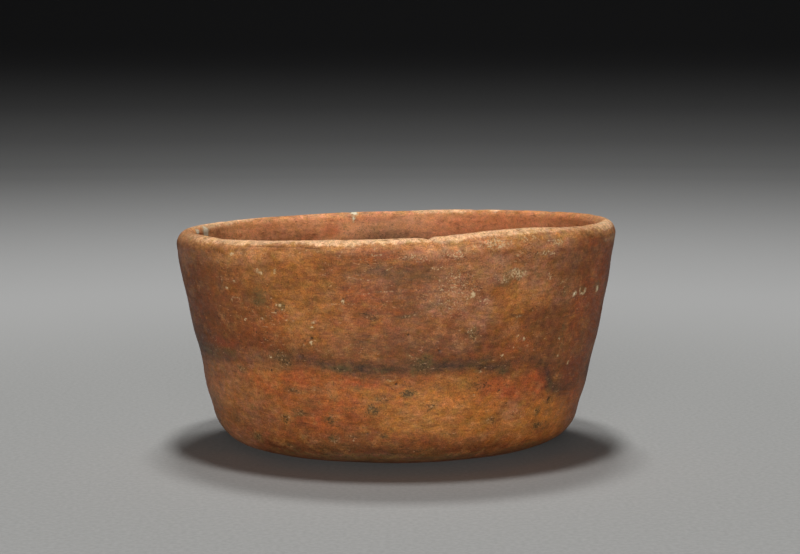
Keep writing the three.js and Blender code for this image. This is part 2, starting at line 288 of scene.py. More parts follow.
# Clouds of each colour on the outside
CLOUDS = {
    "ochre": [
        (-25, 42, 11, 11, 0.55), (-34, 47, 9, 6, 0.35), (-22, 35, 6, 4, 0.5), (31.5, 40, 6, 4, 0.5),
        (21, 49, 9, 4, 0.4), (6, 15, 14, 7, 0.7), (16, 19, 8, 5, 0.8), (16, 12, 14, 4, 0.6),
        (-5, 18.8, 6, 2.6, 0.6), (40, 12, 7, 4, 0.7), (37, 14, 5, 3, 0.5), (-63, 17, 12, 6, 0.4),
        (-18, 17.5, 3, 1.6, 0.4), (51, 12, 6, 3, 0.4), (-135, 44, 16, 8, 0.6),
        (150, 12, 22, 6, 0.7), (-160, 14, 18, 6, 0.6), (100, 48, 12, 4, 0.4), (-50, 18, 8, 4, 0.3),
        (64, 12, 7, 4, 0.4), (-62, 21, 10, 4, 0.4), (-12, 49, 12, 3, 0.3), (-36, 27, 6, 1.4, 0.3),
        (-30, 52, 18, 2.4, 0.5), (-36, 22, 8, 3, 0.3),
    ],
    "peach_and_painted_light": [
        (-40, 51.8, 7, 2.2, 0.65), (-26, 52, 6, 1.4, 0.45), (-48, 50.4, 5, 1.6, 0.35),
        (-8, 53, 9, 1.1, 0.4), (8, 53, 7, 1.5, 0.6), (17, 53, 6, 1.6, 0.65), (28, 53, 9, 1.8, 0.7),
        (44, 53, 9, 1.8, 0.65), (73, 52.4, 9, 2, 0.55), (36, 51.4, 6, 2, 0.35),
        (-36, 47.4, 5, 2.4, 0.2), (12, 15, 8, 4, 0.15), (26, 47, 5, 2.5, 0.2),
        (36, 42.5, 6, 3.4, 0.3), (-14, 35.5, 6, 3, 0.15), (12, 42, 5, 5, 0.15),
        (-26, 37, 5, 4, 0.15), (170, 50, 14, 2, 0.3), (-130, 50, 16, 2.4, 0.3),
    ],
    "amber": [
        (-24, 51, 6, 2, 0.3), (-150, 40, 14, 5, 0.3), (120, 42, 12, 5, 0.25), (14, 18, 9, 4, 0.4),
        (26, 15, 7, 5, 0.25), (37, 12.5, 8, 4, 0.35), (48, 13.5, 9, 3.4, 0.5),
        (56, 10.4, 10, 3, 0.45), (70, 13, 8, 5, 0.4), (-62, 17, 10, 5, 0.3), (52, 5, 20, 2.4, 0.3),
        (-10, 18.5, 6, 2, 0.15), (30, 40, 6, 5, 0.15), (0, 19, 5, 2, 0.35), (24, 19.4, 5, 2.4, 0.3),
        (-36, 22.6, 6, 2, 0.25), (120, 12, 18, 5, 0.4), (-150, 10, 12, 4, 0.4),
        (160, 44, 10, 4, 0.2), (-100, 20, 12, 5, 0.3),
    ],
    "blush_and_painted_light": [(12, 51.6, 8, 1.6, 0.15), (45, 51.8, 8, 1.6, 0.2)],
    "red": [
        (-28, 21, 11, 4.2, 0.38), (-23, 14, 7, 4.5, 0.35), (-12, 22, 7, 1.4, 0.5),
        (26, 20.4, 5, 2, 0.6), (33, 19, 5, 2.4, 0.7), (42, 20.5, 4, 2.6, 0.6), (3, 23, 5, 1, 0.35),
        (68, 13, 8, 4.5, 0.35), (-14, 13, 5, 5, 0.3), (-38, 21, 7, 3, 0.4),
        (-5, 51.5, 6, 1.8, 0.35), (-54, 29.2, 7, 1.2, 0.7), (-9, 43, 5, 3, 0.3),
        (-5, 38, 7, 3, 0.25), (57, 35, 4, 9, 0.3), (62, 42, 5, 8, 0.3), (-38, 32, 9, 3, 0.2),
        (31, 29, 8, 2, 0.25), (-31, 37, 2.4, 1.6, 0.3), (-95, 16, 14, 6, 0.5),
        (-130, 15, 16, 6, 0.6), (105, 11, 14, 5, 0.55), (172, 18, 16, 4, 0.8),
        (-170, 47, 10, 5, 0.5), (73, 44, 8, 6, 0.4), (72, 30, 7, 10, 0.35), (60, 20, 6, 4, 0.5),
        (-24, 15, 8, 3, 0.3),
    ],
    "ember": [
        (-8, 21.5, 2.4, 0.6, 0.35), (-1.5, 20.8, 2.4, 0.6, 0.15), (-31, 22.6, 7, 1.6, 0.08),
        (-38, 19, 4, 1.6, 0.15), (-22, 13, 4, 2, 0.15), (40.5, 22, 2.2, 1.5, 0.25),
        (44, 19.6, 1.6, 2.4, 0.35), (46, 17, 1.6, 1.6, 0.3), (34, 18.2, 3, 1.2, 0.15),
        (27, 20, 2.4, 0.8, 0.15), (-54, 29.2, 4, 0.7, 0.2), (66, 15, 4, 2, 0.2),
        (58, 38, 4, 2.4, 0.15), (62, 23, 4, 2, 0.15), (-31, 36.8, 1.6, 1, 0.15),
        (58, 51.6, 6, 1, 0.2), (172, 19, 8, 2, 0.35), (-128, 17, 8, 2.4, 0.3), (68, 40, 6, 8, 0.15),
        (20, 17.5, 8, 2, 0.12), (-14, 17, 5, 3, 0.15),
    ],
    # Umber is dark clay, and round the foot and on the underside it is also painted shade
    "umber_and_painted_shade": [
        (-72, 36, 16, 16, 0.68), (-56, 33, 9, 6, 0.5), (-44, 30.5, 14, 2.6, 0.5),
        (-72, 30, 12, 4, 0.8), (60, 23, 5, 2, 0.3), (2, 42, 8, 3, 0.15), (-28, 28.5, 16, 2, 0.5),
        (0, 31, 12, 3, 0.4), (14, 30.5, 10, 4, 0.45), (82, 30, 9, 20, 0.3), (47, 22, 4, 3, 0.4),
        (60, 21.4, 9, 3, 0.5), (-6, 47.5, 8, 2, 0.3), (20, 32, 5, 3, 0.15), (47, 35, 4, 7, 0.12),
        (60, 22, 5, 2, 0.3), (-105, 40, 24, 18, 0.36), (115, 36, 26, 22, 0.28),
        (175, 34, 40, 12, 0.22), (-150, 36, 20, 16, 0.26), (-12, 8, 12, 3, 0.55),
        (2, 43, 8, 3, 0.35), (2, 23, 9, 1.8, 0.25), (36, 23, 4, 1.6, 0.3), (-24, 15, 5, 3, 0.25),
        (-24, 6.6, 20, 2.8, 0.75), (6, 6.8, 16, 2.4, 0.7), (-10, 3.6, 34, 2.4, 1),
        (26, 6, 12, 2, 0.55), (-48, 7.6, 10, 2.4, 0.4), (-10, 12, 6, 3, 0.35),
        (-48, 11, 14, 2.6, 0.35), (-30, 10.4, 8, 2, 0.35), (0, 1.6, 200, 3.4, 0.7),
        (-20, 5, 40, 3, 0.9), (14, 4.6, 24, 2.6, 0.9),
    ],
    # Haze is a grey bloom on the clay. At the cup's sides it is also painted light low down, and a
    # painted sheen under the rim
    "haze_and_painted_light": [
        (14, 44, 8, 6, 0.42), (12, 40, 7, 3, 0.5), (-40, 26.4, 8, 2, 0.3), (-64, 19, 10, 4, 0.4),
        (-72, 51, 8, 3, 0.6), (-56, 23, 10, 3, 0.4), (-64, 5, 14, 3, 0.6), (20, 37.5, 6, 4, 0.55),
        (12, 51, 12, 1.6, 0.3), (24, 47.5, 7, 3.4, 0.6), (36, 46, 6, 4, 0.4), (47, 48, 7, 3, 0.35),
        (36, 50.5, 10, 2, 0.3), (-5, 47, 6, 2.4, 0.3), (-43, 25.6, 3, 1.4, 0.35),
        (16, 32, 6, 3, 0.2), (-74, 4, 10, 3.4, 0.8), (74, 6, 8, 4, 0.6), (-62, 19.5, 14, 3, 0.35),
        (48, 41, 6, 3, 0.35), (35, 14, 4, 3, 0.4), (-46, 13, 8, 5, 0.3), (-175, 42, 14, 6, 0.3),
        (125, 48, 10, 4, 0.4), (-2, 3.4, 26, 1, 0.25), (-60, 51, 8, 2, 0.35),
        (-70, 17, 10, 7, 0.35), (3, 35.5, 5, 2, 0.25),
    ],
    "smoke": [
        (0, 48, 9, 1.2, 0.45), (4, 46.3, 5, 0.9, 0.4), (-7, 37.8, 3, 1, 0.35),
        (2, 37.6, 3, 0.7, 0.5), (8.5, 40, 3.6, 0.5, 0.4), (15, 30.5, 15, 3, 0.2),
        (27, 44, 2.5, 1, 0.3), (-6, 3, 30, 2.4, 0.3), (44, 33, 5, 5, 0.2), (44, 26, 5, 3, 0.35),
        (52, 47, 9, 2.8, 0.2), (-38, 40.8, 4, 1.6, 0.35), (-50, 44.5, 1.2, 2, 0.3),
        (36, 38, 2, 6, 0.15), (-48, 28.3, 2, 1, 0.4), (32, 36.4, 2.4, 0.35, 0.5),
        (-72, 30, 12, 3, 0.35), (140, 44, 16, 8, 0.34), (165, 38, 22, 9, 0.36),
        (-150, 46, 18, 5, 0.3), (-110, 38, 16, 9, 0.25), (110, 36, 10, 12, 0.2),
    ],
}

# Olive stains
OLIVE_SPOTS = [
    (-36, 42.5, 2.4, 1.5, 0.9), (-37, 40.7, 2.8, 1.2, 0.8), (-29.6, 39.7, 1.3, 0.9, 1),
    (-6.7, 15.9, 1.9, 1.2, 0.9), (3.2, 19.4, 2.2, 1, 0.9), (7.6, 27, 2.2, 2, 0.7),
    (5, 25.2, 1.8, 1.2, 0.65), (3, 28.6, 1.2, 1.2, 0.5), (-17, 18, 2, 1.1, 0.5),
    (-10, 20.8, 1.7, 1.3, 0.6), (-14, 25.4, 3.5, 1.2, 0.6), (-4, 25, 3, 1, 0.5),
    (45.6, 12.5, 1.6, 1.2, 0.8), (47, 8.8, 2, 0.8, 0.75), (52, 8.2, 2, 1.4, 0.55),
    (-45.6, 13.8, 3, 1.6, 0.55), (-29, 14.2, 2.4, 1.4, 0.55), (49.2, 18, 1.6, 2, 0.55),
    (52.4, 17.4, 2.4, 0.8, 0.5), (50.6, 31, 1, 7, 0.5), (56.8, 41, 1.3, 0.8, 1),
    (66.3, 41, 2.4, 1.1, 1), (48.4, 41, 1.4, 1.6, 0.6), (-29.6, 8, 2.2, 1.2, 0.5),
    (-18.8, 13, 1.2, 1.4, 0.5), (-18.8, 8.2, 1.3, 1, 0.6), (29.6, 45.2, 3.6, 1.4, 0.9),
    (27, 43.6, 2, 0.8, 0.7), (38, 45.4, 2, 1, 0.6), (-74, 6.4, 8, 4, 0.7), (-70, 12.5, 8, 3, 0.6),
    (-64, 26, 8, 2, 0.6), (-52, 27, 4, 1.4, 0.55), (-5, 3.4, 26, 1.4, 0.75),
    (16, 3.2, 12, 1.2, 0.7), (-34, 3.6, 14, 1.2, 0.6), (46, 3.4, 16, 1.4, 0.6), (30, 24, 3, 1, 0.5),
    (22, 24.2, 1.2, 0.7, 0.7), (-3.4, 9.2, 1.4, 0.7, 0.5), (-47.6, 6.6, 2, 0.9, 0.6),
    (20, 33, 1.4, 2, 0.4), (-140, 20, 5, 3, 0.6), (150, 40, 6, 4, 0.5), (108, 30, 4, 6, 0.4),
    (-100, 33, 4, 3, 0.5),
]

# Clusters of dark burnt-out specks
SPECK_SPOTS = [
    (-31, 26.4, 2.6, 1.6, 1), (-47.6, 23.6, 2.6, 0.8, 1), (-28.4, 19.6, 2.4, 0.9, 1),
    (-27, 14.4, 2.4, 1.1, 1), (-33.6, 12.6, 2.2, 1, 1), (-47.4, 6.8, 2.4, 1.1, 1),
    (-22, 20.2, 2, 0.6, 0.8), (-34, 5.8, 3, 0.7, 0.9), (-18, 6, 12, 1, 0.5), (4, 5.6, 12, 1, 0.45),
    (-12, 9.4, 3, 1, 0.7), (22, 7, 4, 1, 0.5), (10.6, 16.4, 1.8, 1.2, 1), (28.4, 12.2, 2.4, 0.9, 1),
    (-24, 17, 2.4, 0.8, 0.6), (-4, 18.4, 1.8, 1, 0.9), (-15.4, 25.3, 2.8, 0.9, 0.9),
    (3.2, 19.8, 2.2, 0.8, 1), (-40, 17, 2, 0.8, 0.6), (-6.2, 15.6, 1.8, 1.2, 0.7),
    (47, 8.8, 2, 0.7, 0.9), (45.6, 12.4, 1.6, 1, 0.6), (-13, 16, 2, 0.6, 0.7),
    (50.4, 15.1, 1.6, 0.8, 0.9), (7, 26.4, 3, 1.8, 0.6), (-18.8, 8.2, 1.6, 1.4, 1),
    (24, 21, 2, 0.8, 0.6), (-4, 9, 1.6, 0.8, 0.8), (-37, 24.2, 4, 1.2, 0.6),
    (-37, 40.6, 2.2, 0.9, 0.6), (12, 20.6, 2.4, 0.7, 0.7), (-7, 37.6, 2.6, 1, 0.6),
    (2.6, 37.6, 2.6, 0.5, 0.8), (19, 20, 5, 3, 0.4), (4, 46, 8, 1.6, 0.4), (-36, 47, 8, 5, 0.15),
    (-20, 52, 10, 1.4, 0.3), (20, 33, 1.6, 1.4, 0.7), (9, 40, 2, 0.8, 0.6), (-19, 13.4, 2, 1, 0.8),
    (16, 9.6, 3, 0.8, 0.6), (34, 8.4, 3, 0.9, 0.7), (-56, 10, 3, 1.2, 0.6), (-14, 30, 14, 2, 0.3),
    (130, 20, 4, 2, 0.8), (-160, 30, 4, 3, 0.8), (-115, 12, 4, 3, 0.8), (165, 10, 5, 3, 0.7),
]

# Where pale flecks of lime are strewn thickly
FLECK_SPOTS = [
    (14, 43, 7, 6, 0.6), (20, 33.5, 2, 2, 0.5), (4, 50.8, 4, 1.2, 0.7), (14, 51.4, 5, 1.5, 0.85),
    (24, 52.6, 5, 1.6, 1), (30, 51, 8, 3, 0.45), (34, 53, 3, 1, 0.9), (43, 52.2, 4, 0.9, 1),
    (40, 49.2, 4, 1, 0.9), (9, 48, 2.6, 0.9, 0.7), (75, 51.5, 3, 1, 0.9), (-18, 52.8, 9, 0.8, 0.5),
    (-40, 52, 10, 1.4, 0.5), (-33, 38.5, 5, 3, 0.4), (27, 45.5, 5, 2, 0.5), (34, 31, 4, 2, 0.4),
    (38, 12.6, 4, 2.4, 0.5), (41.6, 44.8, 1.6, 0.7, 1), (48, 41.4, 5, 1.6, 0.5),
    # The spot at turn 72 on the crest strews pale flecks there as painted highlights
    (-60, 50, 12, 2, 0.3), (6, 41, 4, 3, 0.4), (72, 54.5, 3, 1.4, 0.9), (-170, 45, 14, 6, 0.5),
    (130, 44, 12, 7, 0.5), (-120, 47, 14, 4, 0.5),
]

# Single crusts of lime on the outside, where they are a little thinner than inside
OUTSIDE_LIME_SHARE = 0.85
LIME_CRUSTS = [
    (-44.3, 51.6, 0.8, 0.4, 1), (-36, 47.9, 0.8, 0.45, 0.9), (-34.9, 47.4, 0.6, 0.35, 0.9),
    (-30.7, 47.9, 0.5, 0.5, 0.6), (-49.6, 44.6, 0.6, 1.5, 0.35), (-47.9, 43.2, 0.6, 0.3, 1),
    (-44.6, 45.1, 0.7, 0.25, 0.8), (-46.4, 40, 0.25, 0.5, 0.6), (-44.6, 41, 1, 0.16, 0.6),
    (-43, 40.5, 0.5, 0.2, 0.6), (-42.6, 35.6, 0.7, 0.35, 0.9), (-44.2, 36.3, 0.35, 0.3, 0.6),
    (-36.6, 36.3, 0.6, 0.3, 1), (-35, 37.1, 0.35, 0.2, 0.9), (-32.3, 38, 0.7, 0.22, 1),
    (-32.3, 41.6, 0.4, 0.25, 0.9), (-31.5, 39.6, 0.3, 0.22, 0.9), (-30.2, 39.9, 0.6, 0.4, 0.8),
    (-29.6, 38.8, 0.3, 0.22, 0.8), (-33.4, 35, 1.3, 0.16, 0.6), (-28.8, 36.3, 0.4, 0.15, 0.6),
    (-26.8, 36.3, 0.4, 0.2, 0.5), (-21, 36, 0.8, 0.5, 0.6), (-21.8, 34.9, 0.4, 0.3, 0.8),
    (-22.2, 31.3, 0.5, 0.25, 1), (-24.2, 30.8, 0.35, 0.22, 0.8), (-35.2, 27.4, 0.5, 0.4, 1),
    (-31.2, 28.5, 0.3, 0.2, 0.7), (-13, 41.3, 0.5, 0.2, 0.9), (-11.2, 44.2, 0.35, 0.35, 0.5),
    (-4.7, 29.2, 0.25, 0.2, 0.7), (-12.6, 8.1, 0.45, 0.22, 0.7), (-11.2, 8, 0.6, 0.2, 0.4),
    (-6.9, 16.4, 0.7, 0.35, 0.5), (-1.8, 22.7, 1.7, 0.3, 0.45), (22.8, 24.3, 0.35, 0.25, 0.9),
    (21.6, 18.6, 0.3, 0.3, 0.4), (31, 45.6, 2.8, 1.2, 0.62), (27.4, 44.4, 1.8, 0.7, 0.5),
    (18.8, 41.8, 0.7, 0.5, 1), (17.6, 41.2, 0.35, 0.25, 0.8), (20.8, 40.3, 0.5, 0.3, 0.7),
    (22.4, 40.6, 1, 0.25, 0.6), (15.4, 43, 0.3, 0.25, 0.7), (19.4, 34, 0.3, 0.25, 0.9),
    (20, 33.2, 0.35, 0.3, 0.9), (20.6, 31.9, 0.25, 0.3, 0.8), (18.6, 33.6, 0.25, 0.25, 0.8),
    (28.8, 27.7, 0.45, 0.3, 0.9), (33, 31.9, 0.8, 0.22, 0.7), (35.2, 31, 0.4, 0.5, 0.9),
    (32.3, 29.2, 0.25, 0.2, 0.8), (36.3, 40.7, 0.25, 0.3, 0.6), (42.6, 35.4, 0.6, 0.2, 0.5),
    (47.2, 43.3, 1.1, 0.18, 0.45), (52.6, 40.2, 0.9, 0.7, 1.1), (51.4, 40.6, 0.4, 0.4, 0.7),
    (57.9, 40.6, 0.7, 0.8, 1.1), (56.4, 39.9, 1.2, 0.35, 1), (55, 40.8, 0.4, 0.7, 0.8),
    (66.8, 40.3, 1.4, 0.6, 1), (70.5, 38.7, 1.4, 0.45, 0.35), (56.3, 23.5, 0.6, 0.5, 0.8),
    (50.1, 25.6, 0.55, 0.35, 0.9), (49, 30, 0.5, 0.3, 0.7), (49.3, 23, 0.3, 1.8, 0.35),
    (57.6, 20.2, 0.5, 0.3, 0.5), (53.6, 16.9, 1.6, 0.2, 0.45), (60.6, 36, 0.8, 0.5, 0.35),
    # The crusts at turns 70, 73 and 76.4 on the crest are painted highlights, glints on the rim
    (67, 51.4, 1.8, 0.35, 0.6), (70, 55, 0.8, 0.35, 1), (73, 55.1, 1, 0.5, 1.1),
    (76.4, 55, 0.7, 0.4, 1), (-140, 30, 1.4, 0.8, 0.9), (-152, 41, 0.8, 1.2, 0.8),
    (165, 34, 1.6, 0.7, 0.9), (128, 27, 0.9, 0.9, 0.8), (105, 44, 1.2, 0.6, 0.7),
    (-108, 28, 0.8, 0.5, 0.9),
]

# Fine scratches on the outside: (turn and height at one end, turn and height at the other)
SCRATCHES = [
    (-5.8, 51.5, -4.9, 53.6), (-5.9, 51.7, -3.2, 51.9), (-8.4, 51, -6.4, 51.2),
    (-2.4, 48.3, -0.9, 49), (-11.4, 46.8, -5.6, 46), (-4.8, 43.4, -0.8, 43.5),
    (-8, 42.9, -6.6, 43.1), (-16, 40.6, -10, 40.6), (46, 42.9, 48.4, 43.6), (150, 40, 156, 41.5),
    (-150, 22, -143, 21), (-47, 40.2, -45.6, 41.2), (-45.6, 41.2, -43.6, 40.9),
    (-43.6, 40.9, -42.4, 39.8), (31.5, 36.2, 34, 36.6), (-13.6, 51.4, -12.8, 52.6),
    (52.4, 39.6, 53.6, 40.8),
]

SCRATCH_HALF_WIDTH = 0.28
SCRATCH_DEPTH = 0.05
SCRATCH_PALENESS = 0.42

# Pits: (turn, height, half width, depth). Grains of temper fell out of the outside here, and
# their hollows are darkened with painted shade.
PITS = [
    (-22.1, 32.3, 0.45, 0.5), (-24.2, 31.6, 0.32, 0.3), (0, 21.7, 0.42, 0.5),
    (3.1, 33.4, 0.36, 0.4), (11, 29.6, 0.36, 0.4), (50.2, 15.1, 0.5, 0.45),
    (29.5, 19.1, 0.36, 0.35), (-36, 23.9, 0.4, 0.35), (-24.6, 46.5, 0.3, 0.25),
    (-21.2, 46.2, 0.32, 0.25), (-39.4, 32.8, 0.3, 0.25), (-31.9, 38.3, 0.35, 0.25),
    (-13, 41.8, 0.32, 0.25), (28.4, 12.1, 0.36, 0.3), (-8.2, 9.8, 0.36, 0.3),
    (32.4, 15.8, 0.32, 0.3), (-16.4, 25.3, 0.36, 0.3), (22.8, 24.6, 0.36, 0.3), (142, 33, 0.5, 0.5),
    (-158, 18, 0.5, 0.5), (118, 22, 0.45, 0.4), (-128, 36, 0.45, 0.5),
]
SCATTERED_PITS = 260
SCATTERED_PITS_TOP = 53
SMALLEST_PIT = 0.28
PIT_SIZE_SPREAD = 0.2
PIT_DEPTH_SHARE = 0.8

# Where the rim is worn bare, down to this height on the outside: (turn, height)
WEAR_EDGE = [
    (-180, 54), (-150, 53.4), (-120, 53), (-100, 53.2), (-80, 53.2), (-70, 53.2), (-60, 53),
    (-50, 53.2), (-44, 53.2), (-38, 53.5), (-34, 53.8), (-28, 53.9), (-20, 53.6), (-14, 53.1),
    (-10, 53.4), (-4, 53.6), (1, 53.6), (5, 53.4), (10, 53.2), (16, 53.1), (22, 53.3), (30, 53.2),
    (36, 53.1), (42, 53.3), (47, 53.7), (52, 53.8), (60, 53.4), (68, 53), (80, 53), (100, 53.4),
    (130, 53), (150, 53.6), (180, 54),
]

# How pale the very crest of the rim is worn: (turn, from 0 to 1)
CREST_PALENESS = [
    (-180, 0.4), (-155, 0.45), (-140, 0.5), (-128, 0.85), (-105, 0.9), (-92, 0.35), (-78, 0.25),
    (-66, 0.4), (-56, 0.55), (-48, 0.75), (-38, 1), (-16, 1), (-8, 0.95), (2, 0.9), (8, 0.7),
    (14, 0.75), (24, 0.75), (36, 0.75), (44, 0.5), (52, 0.45), (60, 0.45), (68, 0.75), (76, 1),
    (84, 0.7), (92, 0.5), (110, 0.45), (126, 0.4), (140, 0.45), (148, 0.9), (154, 0.5), (164, 0.9),
    (174, 0.8), (178, 0.5), (180, 0.4),
]

# A dent reaches this many half widths from its middle, counted in degrees at this radius
DENT_REACH = 3
WALL_RADIUS = 40

# Chips in the crest of the rim: (turn, height, half width, half height, depth)
RIM_CHIPS = [
    (-44, 55.2, 14, 1.8, 0.4), (7.9, 55.6, 0.75, 1.2, 0.5), (6.6, 55.4, 1.3, 1, 0.18),
    (12, 55.2, 1.2, 0.8, 0.12), (-13, 55.2, 1.6, 1, 0.1), (58, 55.2, 1.8, 1.2, 0.15),
    (-52, 55.2, 2, 1.2, 0.12), (155, 55.2, 1.2, 1.2, 0.15), (-166, 55.2, 1.4, 1.2, 0.12),
    (-121, 55.2, 2, 1.2, 0.12), (104, 55.2, 1.4, 1.2, 0.15), (128, 55.2, 2.4, 1, 0.12),
]

# Broad dents and swellings of the wall: (turn, height, half width, half height, depth)
DENTS = [
    (-84, 47, 9, 3.4, -0.28), (-84, 39.8, 9, 2.4, 0.08), (-84, 34, 9, 2.6, -0.2),
    (-84, 25.4, 8, 3.6, 0.3), (-84, 20.3, 9, 2.2, 0.12), (-84, 16.5, 9, 5, -0.08),
    (82, 34, 10, 6, -0.15), (-84, 9, 10, 3.4, -0.1), (-84, 4.2, 10, 2.2, 0.2),
    (-62, 2.4, 22, 2, -0.35), (76, 2.4, 16, 2, -0.25), (-30, 33, 14, 4, 0.12), (20, 20, 12, 4, 0.1),
    (48, 16, 6, 3, 0.15), (120, 30, 14, 6, 0.3), (-140, 24, 16, 7, 0.35), (168, 42, 10, 5, 0.25),
    (2, 44, 10, 3, 0.1),
]

# The fold where the rolled rim was not quite smoothed down: (turn, height) along it
RIM_FOLD = [(-44, 53.5), (-36, 53.8), (-26, 53.8), (-19, 53.5), (-14, 53)]
RIM_FOLD_DEPTH = 0.3
RIM_FOLD_HALF_WIDTH = 0.22
RIM_FOLD_HALF_SPAN = 14
RIM_FOLD_FADES_FROM = 9

# Marks on the inside, whose upper part is browned by the smoke
INSIDE_SMOKE = 0.6
INSIDE_SMOKE_FROM = 30
INSIDE_SMOKE_TO = 50
INSIDE_CLOUDS = {
    "ochre": [(0, 30, 200, 14, 0.5), (60, 40, 30, 10, 0.4)],
    # The peach and pink clouds on the inner wall are partly the clay's colour and partly painted
    # light, paler than the clay where the lamps light the wall little
    "peach_and_painted_light": [(180, 48, 150, 8, 0.9), (0, 50, 60, 8, 0.5)],
    "amber": [(-110, 48, 10, 5, 0.2)],
    "blush_and_painted_light": [(180, 49.2, 130, 7, 0.95), (-100, 50, 30, 6, 0.9), (100, 50, 30, 6, 0.9)],
    "red": [
        (-146, 49, 12, 5, 0.3), (-60, 40, 20, 8, 0.3), (30, 44, 30, 6, 0.3),
        (178, 30, 60, 12, 0.3),
    ],
    "ember": [
        (-159, 50.6, 3, 1.8, 0.5), (-151, 48, 4, 3, 0.25), (148, 50, 22, 6, 0.5),
        (118, 50, 20, 6, 0.36), (-134, 52, 8, 1.6, 0.2), (-170, 53.4, 12, 1, 0.3),
        (-118, 47, 5, 2, 0.2), (140, 46, 16, 2, 0.25),
    ],
    "umber_and_painted_shade": [(0, 12, 200, 14, 0.5), (180, 30, 60, 6, 0.3)],
    "haze_and_painted_light": [(-176, 52.6, 12, 1.6, 0.3), (-112, 50, 5, 3, 0.4), (-140, 48, 5, 4, 0.3)],
    "smoke": [
        (-177, 46, 12, 5, 0.6), (178, 49, 9, 2.4, 0.2), (-120, 28, 30, 10, 0.4),
        (40, 30, 50, 12, 0.35), (-148, 49, 4, 3, 0.12), (110, 30, 20, 8, 0.35),
    ],
}
INSIDE_OLIVE = [
    (-166.6, 54.2, 1.2, 1.6, 0.7), (-178, 47, 9, 2.6, 0.5), (-148, 49.6, 2, 2, 0.5),
    (-152, 48, 3, 2, 0.4), (155, 46, 3, 2, 0.3),
]
INSIDE_LIME = [
    (-105, 53.2, 2.2, 1.5, 1.5), (-97, 53.8, 2.2, 0.9, 1.2), (-166.8, 54.8, 1.4, 0.6, 1),
    (-166.5, 53.6, 0.6, 1.2, 0.9), (-60, 30, 1.4, 0.8, 0.8), (30, 22, 1.6, 0.9, 0.7),
]
INSIDE_WEAR_EDGE = [
    (-180, 55.6), (-150, 55), (-130, 53.9), (-108, 53.3), (-100, 54.2), (-80, 54.6), (0, 54.4),
    (90, 54.6), (110, 55), (144, 55.2), (148, 53.8), (153, 54.4), (158, 53.6), (174, 53.6),
    (178, 55.2), (180, 55.6),
]


def seam_height(seam, turn):
    """Height of a seam on the outside. Seams count up from the base pad's top edge."""
    top = CUP_HEIGHT - RIM_COIL_HEIGHT
    level = BASE_PAD_HEIGHT + (top - BASE_PAD_HEIGHT) * seam / WALL_COILS
    return level + SEAM_WANDER * np.sin(2 * np.radians(turn) + SEAM_SHIFT * seam)


def round_axis(turn, radius, height):
    """Points from their turn, their distance from the axis and their height."""
    angle = np.radians(turn)
    return np.stack((radius * np.sin(angle), -radius * np.cos(angle), height + 0 * angle), axis=-1)


def uneven(turn, radius, height):
    """Points of the cup as it left the hand: skewed, out of round, its rim sloping and humped."""
    settled = smoothstep(0, BODY_SKEW_FROM, height)
    near_rim = smoothstep(CUP_HEIGHT - RIM_UNEVEN_BELOW, CUP_HEIGHT, height)
    lobes = OUT_OF_ROUND * settled * np.cos(np.radians(OUT_OF_ROUND_LOBES * turn))
    points = round_axis(turn, radius * (1 + lobes / RIM_RADIUS), height)
    sideways = points[..., 0]
    hump = RIM_HUMP * np.exp(-((turn_apart(turn, RIM_HUMP_TURN) / RIM_HUMP_SPREAD) ** 2) / 2)
    points[..., 2] += settled * BODY_SKEW * sideways + near_rim * (RIM_SLOPE * sideways + hump)
    return points


def swell(height, turn):
    """How far each coil stands proud between its seams."""
    proud = np.zeros(height.shape)
    for coil in range(1, WALL_COILS + 1):
        below = seam_height(coil - 1, turn)
        above = seam_height(coil, turn)
        share = np.clip((height - below) / (above - below), 0, 1)
        proud = np.maximum(proud, COIL_SWELL * np.sin(math.pi * share) ** 2)
    return proud


